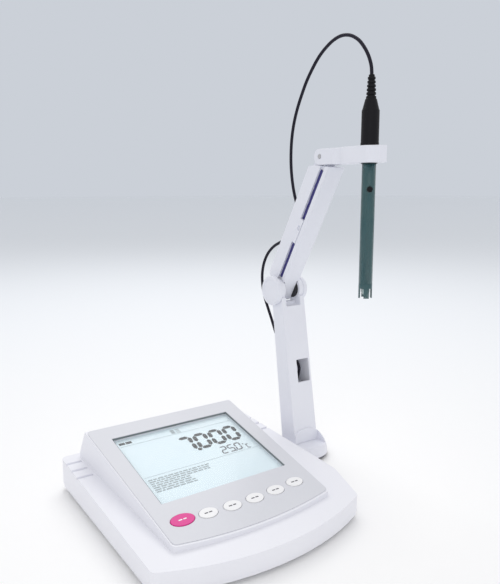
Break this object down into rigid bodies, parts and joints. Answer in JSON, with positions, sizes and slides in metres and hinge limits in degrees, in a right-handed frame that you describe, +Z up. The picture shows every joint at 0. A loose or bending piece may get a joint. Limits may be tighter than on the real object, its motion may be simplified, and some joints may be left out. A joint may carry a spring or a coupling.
{
  "type": "ph meter",
  "caption": "Bench pH meter with a sloped display panel, a key row and a jointed side arm that holds a leaded electrode.",
  "frame": {"origin": "on the table, under the middle of the whole instrument without its free lead", "axes": "+X to the right of a person at the keys, +Y to the rear, +Z up"},
  "size_m": [0.257, 0.2663, 0.4043],
  "materials": {
    "case_shell": "fine satin moulding, very light lavender white",
    "panel_film": "satin overlay film, pale lavender grey",
    "window_lens": "clear polished window",
    "lcd": "pale blue liquid crystal",
    "tin_plate": "nickel-plated",
    "light_guide": "diffusing white",
    "key_silicone": "silicone",
    "circuit_board": "solder mask",
    "foot_rubber": "matt rubber",
    "white_key": "satin",
    "power_key": "satin magenta",
    "black_plastic": "satin black",
    "bracket_steel": "dark grey powder coat",
    "arm_plastic": "fine satin moulding",
    "cover_plastic": "satin",
    "groove_blue": "satin dark blue",
    "smoky_body": "smoky translucent polymer",
    "clear_glass": "thin clear glass",
    "lead_jacket": "satin jacket"
  },
  "bodies": {
    "base": {"bottom_cover": "case_shell", "top_housing": "case_shell", "control_panel": "panel_film", "lcd_window": "window_lens", "lcd_glass": "lcd", "lcd_frame": "tin_plate", "backlight": "light_guide", "key_pad": "key_silicone", "main_board": "circuit_board", "board_screws": "tin_plate", "case_screws": "tin_plate", "rubber_feet": "foot_rubber", "bnc_socket": "tin_plate", "temperature_jack": "black_plastic", "power_inlet": "black_plastic", "mounting_bracket": "bracket_steel", "bracket_screws": "tin_plate", "bracket_pad": "foot_rubber", "swivel_pin": "tin_plate", "swivel_washer": "cover_plastic", "lead_rear": "lead_jacket", "lead_coil": "lead_jacket", "coil_tie": "black_plastic", "lead_to_plug": "lead_jacket", "bnc_plug": "tin_plate"},
    "lower_arm": {"swivel_foot": "arm_plastic", "lower_arm": "arm_plastic", "lower_arm_cover": "cover_plastic", "elbow_bolt": "tin_plate", "elbow_cap": "arm_plastic", "friction_washers": "foot_rubber", "lead_elbow": "lead_jacket", "lead_in_post": "lead_jacket"},
    "elbow_knob": {"elbow_knob": "arm_plastic"},
    "upper_arm": {"upper_arm": "arm_plastic", "groove_inserts": "groove_blue", "arm_cable_clip": "cover_plastic", "holder_pin": "tin_plate", "lead_in_arm": "lead_jacket"},
    "holder": {"electrode_holder": "arm_plastic", "grip_bushing": "foot_rubber", "electrode_body": "smoky_body", "electrode_guard": "smoky_body", "inner_tube": "clear_glass", "glass_bulb": "clear_glass", "electrode_cap": "black_plastic", "strain_relief": "black_plastic", "refill_plug": "black_plastic", "lead_upper": "lead_jacket"},
    "power_key_cap": {"power_key_cap": "power_key"},
    "key_2": {"key_2": "white_key"},
    "key_3": {"key_3": "white_key"},
    "key_4": {"key_4": "white_key"},
    "key_5": {"key_5": "white_key"},
    "key_6": {"key_6": "white_key"}
  },
  "joints": [
    {"name": "arm_swivel", "type": "hinge", "parent": "base", "child": "lower_arm", "pos_m": [0.1035, 0.0344, 0.02], "axis": [0, 0, 1], "range_deg": [-90, 90], "deforming": ["lead_rear"]},
    {"name": "elbow", "type": "hinge", "parent": "lower_arm", "child": "upper_arm", "pos_m": [0.1035, 0.066, 0.1684], "axis": [1, 0, 0], "range_deg": [-28, 60], "deforming": ["lead_elbow"]},
    {"name": "knob_turn", "type": "hinge", "parent": "lower_arm", "child": "elbow_knob", "pos_m": [0.0861, 0.066, 0.1684], "axis": [1, 0, 0], "range_deg": [-90, 90]},
    {"name": "holder_tilt", "type": "hinge", "parent": "upper_arm", "child": "holder", "pos_m": [0.1035, 0.0056, 0.2997], "axis": [1, 0, 0], "range_deg": [-62, 8], "deforming": ["lead_upper"]},
    {"name": "power_key_press", "type": "slide", "parent": "base", "child": "power_key_cap", "axis": [0, 0.1966, -0.9805], "range_m": [0, 0.0005], "stiffness_N_per_m": 300, "springref_m": -0.0005},
    {"name": "key_2_press", "type": "slide", "parent": "base", "child": "key_2", "axis": [0, 0.1966, -0.9805], "range_m": [0, 0.0005], "stiffness_N_per_m": 300, "springref_m": -0.0005},
    {"name": "key_3_press", "type": "slide", "parent": "base", "child": "key_3", "axis": [0, 0.1966, -0.9805], "range_m": [0, 0.0005], "stiffness_N_per_m": 300, "springref_m": -0.0005},
    {"name": "key_4_press", "type": "slide", "parent": "base", "child": "key_4", "axis": [0, 0.1966, -0.9805], "range_m": [0, 0.0005], "stiffness_N_per_m": 300, "springref_m": -0.0005},
    {"name": "key_5_press", "type": "slide", "parent": "base", "child": "key_5", "axis": [0, 0.1966, -0.9805], "range_m": [0, 0.0005], "stiffness_N_per_m": 300, "springref_m": -0.0005},
    {"name": "key_6_press", "type": "slide", "parent": "base", "child": "key_6", "axis": [0, 0.1966, -0.9805], "range_m": [0, 0.0005], "stiffness_N_per_m": 300, "springref_m": -0.0005}
  ]
}
